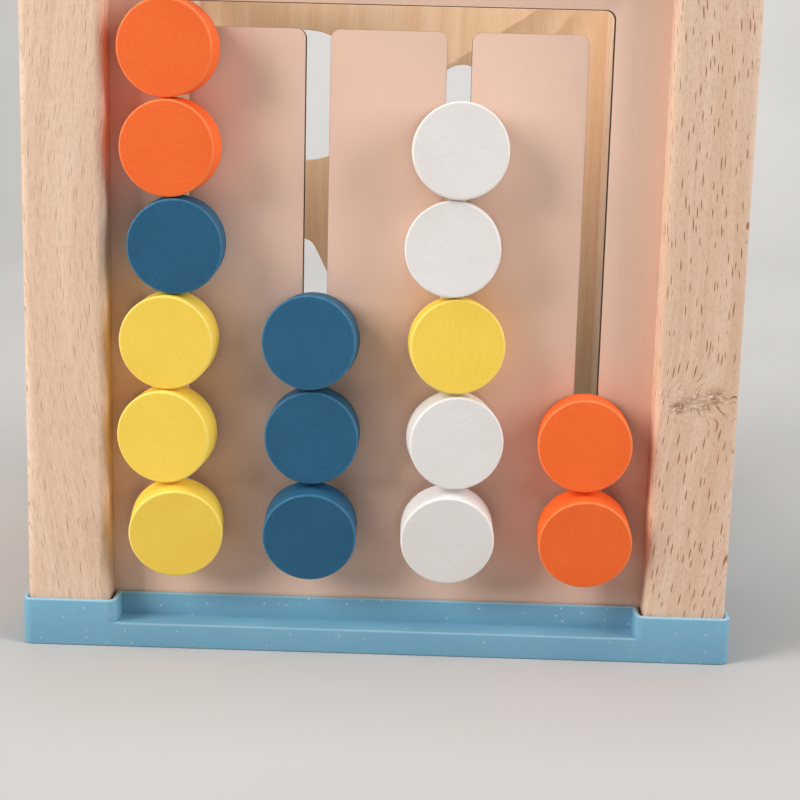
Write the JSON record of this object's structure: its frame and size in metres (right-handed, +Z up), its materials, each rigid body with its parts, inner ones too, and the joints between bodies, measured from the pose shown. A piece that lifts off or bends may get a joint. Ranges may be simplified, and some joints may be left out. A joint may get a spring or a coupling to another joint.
{
  "type": "activity cube",
  "caption": "Open-topped wooden activity cube: front board with sliding sorting discs, rear shape sorter, gear side and bead-rod side.",
  "frame": {"origin": "centre of the base's underside, on the surface that the cube stands on", "axes": "+Z up; the board with the sliding discs faces -Y, the shape sorter +Y, the gears -X and the bead rods +X"},
  "size_m": [0.23, 0.2354, 0.24],
  "materials": {
    "blue_plastic": "satin moulded, slightly speckled",
    "beech": "planed beech with fine dark flecks, matt",
    "pink_board": "plywood painted pale pink, dark laser-cut edges",
    "ply_board": "bare plywood",
    "cream_board": "plywood painted cream outside",
    "aqua_board": "plywood painted pale blue outside",
    "turned_wood": "turned hardwood, waxed",
    "orange_paint": "painted wood, satin",
    "yellow_paint": "painted wood, satin",
    "blue_paint": "painted wood, satin",
    "white_paint": "painted wood, satin",
    "screw_steel": "zinc plated"
  },
  "bodies": {
    "root": {"base_frame": "blue_plastic", "top_frame": "blue_plastic", "post_front_left": "beech", "post_front_right": "beech", "post_rear_left": "beech", "post_rear_right": "beech", "front_board": "pink_board", "rear_board": "ply_board", "left_board": "cream_board", "right_lower_board": "aqua_board", "right_upper_board": "aqua_board", "gear_axles": "turned_wood", "bead_rods": "turned_wood", "frame_screws": "screw_steel"},
    "slider_a1": {"disc_a1": "yellow_paint", "peg_a1": "turned_wood"},
    "slider_a2": {"disc_a2": "yellow_paint", "peg_a2": "turned_wood"},
    "slider_a3": {"disc_a3": "yellow_paint", "peg_a3": "turned_wood"},
    "slider_a4": {"disc_a4": "blue_paint", "peg_a4": "turned_wood"},
    "slider_a5": {"disc_a5": "orange_paint", "peg_a5": "turned_wood"},
    "slider_a6": {"disc_a6": "orange_paint", "peg_a6": "turned_wood"},
    "slider_b1": {"disc_b1": "blue_paint", "peg_b1": "turned_wood"},
    "slider_b2": {"disc_b2": "blue_paint", "peg_b2": "turned_wood"},
    "slider_b3": {"disc_b3": "blue_paint", "peg_b3": "turned_wood"},
    "slider_c1": {"disc_c1": "white_paint", "peg_c1": "turned_wood"},
    "slider_c2": {"disc_c2": "white_paint", "peg_c2": "turned_wood"},
    "slider_c3": {"disc_c3": "yellow_paint", "peg_c3": "turned_wood"},
    "slider_c4": {"disc_c4": "white_paint", "peg_c4": "turned_wood"},
    "slider_c5": {"disc_c5": "white_paint", "peg_c5": "turned_wood"},
    "slider_d1": {"disc_d1": "orange_paint", "peg_d1": "turned_wood"},
    "slider_d2": {"disc_d2": "orange_paint", "peg_d2": "turned_wood"},
    "gear_large": {"gear_large": "orange_paint"},
    "gear_medium": {"gear_medium": "yellow_paint"},
    "gear_small": {"gear_small": "blue_paint"},
    "bead_11": {"bead_11": "orange_paint"},
    "bead_12": {"bead_12": "orange_paint"},
    "bead_13": {"bead_13": "orange_paint"},
    "bead_21": {"bead_21": "white_paint"},
    "bead_22": {"bead_22": "white_paint"},
    "bead_23": {"bead_23": "white_paint"},
    "bead_31": {"bead_31": "yellow_paint"},
    "bead_32": {"bead_32": "yellow_paint"},
    "bead_33": {"bead_33": "yellow_paint"}
  },
  "joints": [
    {"name": "slide_a1", "type": "slide", "parent": "root", "child": "slider_a1", "axis": [0, 0, 1], "range_m": [0, 0.0016]},
    {"name": "slide_a2", "type": "slide", "parent": "slider_a1", "child": "slider_a2", "axis": [0, 0, 1], "range_m": [0, 0.0016]},
    {"name": "slide_a3", "type": "slide", "parent": "slider_a2", "child": "slider_a3", "axis": [0, 0, 1], "range_m": [0, 0.0016]},
    {"name": "slide_a4", "type": "slide", "parent": "slider_a3", "child": "slider_a4", "axis": [0, 0, 1], "range_m": [0, 0.0016]},
    {"name": "slide_a5", "type": "slide", "parent": "slider_a4", "child": "slider_a5", "axis": [0, 0, 1], "range_m": [0, 0.0016]},
    {"name": "slide_a6", "type": "slide", "parent": "slider_a5", "child": "slider_a6", "axis": [0, 0, 1], "range_m": [0, 0.0016]},
    {"name": "slide_b1", "type": "slide", "parent": "root", "child": "slider_b1", "axis": [0, 0, 1], "range_m": [0, 0.0336]},
    {"name": "slide_b2", "type": "slide", "parent": "slider_b1", "child": "slider_b2", "axis": [0, 0, 1], "range_m": [0, 0.0336]},
    {"name": "slide_b3", "type": "slide", "parent": "slider_b2", "child": "slider_b3", "axis": [0, 0, 1], "range_m": [0, 0.0336]},
    {"name": "slide_c1", "type": "slide", "parent": "root", "child": "slider_c1", "axis": [0, 0, 1], "range_m": [0, 0.008]},
    {"name": "slide_c2", "type": "slide", "parent": "slider_c1", "child": "slider_c2", "axis": [0, 0, 1], "range_m": [0, 0.008]},
    {"name": "slide_c3", "type": "slide", "parent": "slider_c2", "child": "slider_c3", "axis": [0, 0, 1], "range_m": [0, 0.008]},
    {"name": "slide_c4", "type": "slide", "parent": "slider_c3", "child": "slider_c4", "axis": [0, 0, 1], "range_m": [0, 0.008]},
    {"name": "slide_c5", "type": "slide", "parent": "slider_c4", "child": "slider_c5", "axis": [0, 0, 1], "range_m": [0, 0.008]},
    {"name": "slide_d1", "type": "slide", "parent": "root", "child": "slider_d1", "axis": [0, 0, 1], "range_m": [0, 0.0655]},
    {"name": "slide_d2", "type": "slide", "parent": "slider_d1", "child": "slider_d2", "axis": [0, 0, 1], "range_m": [0, 0.0655]},
    {"name": "gear_large_turn", "type": "hinge", "parent": "root", "child": "gear_large", "pos_m": [-0.1077, -0.022, 0.084], "axis": [-1, 0, 0], "continuous": true},
    {"name": "gear_medium_turn", "type": "hinge", "parent": "root", "child": "gear_medium", "pos_m": [-0.1077, 0.04016, 0.13616], "axis": [-1, 0, 0], "continuous": true},
    {"name": "gear_small_turn", "type": "hinge", "parent": "root", "child": "gear_small", "pos_m": [-0.1077, -0.03945, 0.15401], "axis": [-1, 0, 0], "continuous": true},
    {"name": "bead_slide_11", "type": "slide", "parent": "root", "child": "bead_11", "axis": [0, 1, 0], "range_m": [0, 0.039]},
    {"name": "bead_slide_12", "type": "slide", "parent": "bead_11", "child": "bead_12", "axis": [0, 1, 0], "range_m": [0, 0.039]},
    {"name": "bead_slide_13", "type": "slide", "parent": "bead_12", "child": "bead_13", "axis": [0, 1, 0], "range_m": [0, 0.039]},
    {"name": "bead_slide_21", "type": "slide", "parent": "root", "child": "bead_21", "axis": [0, -1, 0], "range_m": [0, 0.039]},
    {"name": "bead_slide_22", "type": "slide", "parent": "bead_21", "child": "bead_22", "axis": [0, -1, 0], "range_m": [0, 0.039]},
    {"name": "bead_slide_23", "type": "slide", "parent": "bead_22", "child": "bead_23", "axis": [0, -1, 0], "range_m": [0, 0.039]},
    {"name": "bead_slide_31", "type": "slide", "parent": "root", "child": "bead_31", "axis": [0, 1, 0], "range_m": [0, 0.039]},
    {"name": "bead_slide_32", "type": "slide", "parent": "bead_31", "child": "bead_32", "axis": [0, 1, 0], "range_m": [0, 0.039]},
    {"name": "bead_slide_33", "type": "slide", "parent": "bead_32", "child": "bead_33", "axis": [0, 1, 0], "range_m": [0, 0.039]}
  ],
  "couplings": [
    {"joint": "gear_medium_turn", "follows": "gear_large_turn", "ratio": -1.25},
    {"joint": "gear_small_turn", "follows": "gear_large_turn", "ratio": -1.6667}
  ]
}
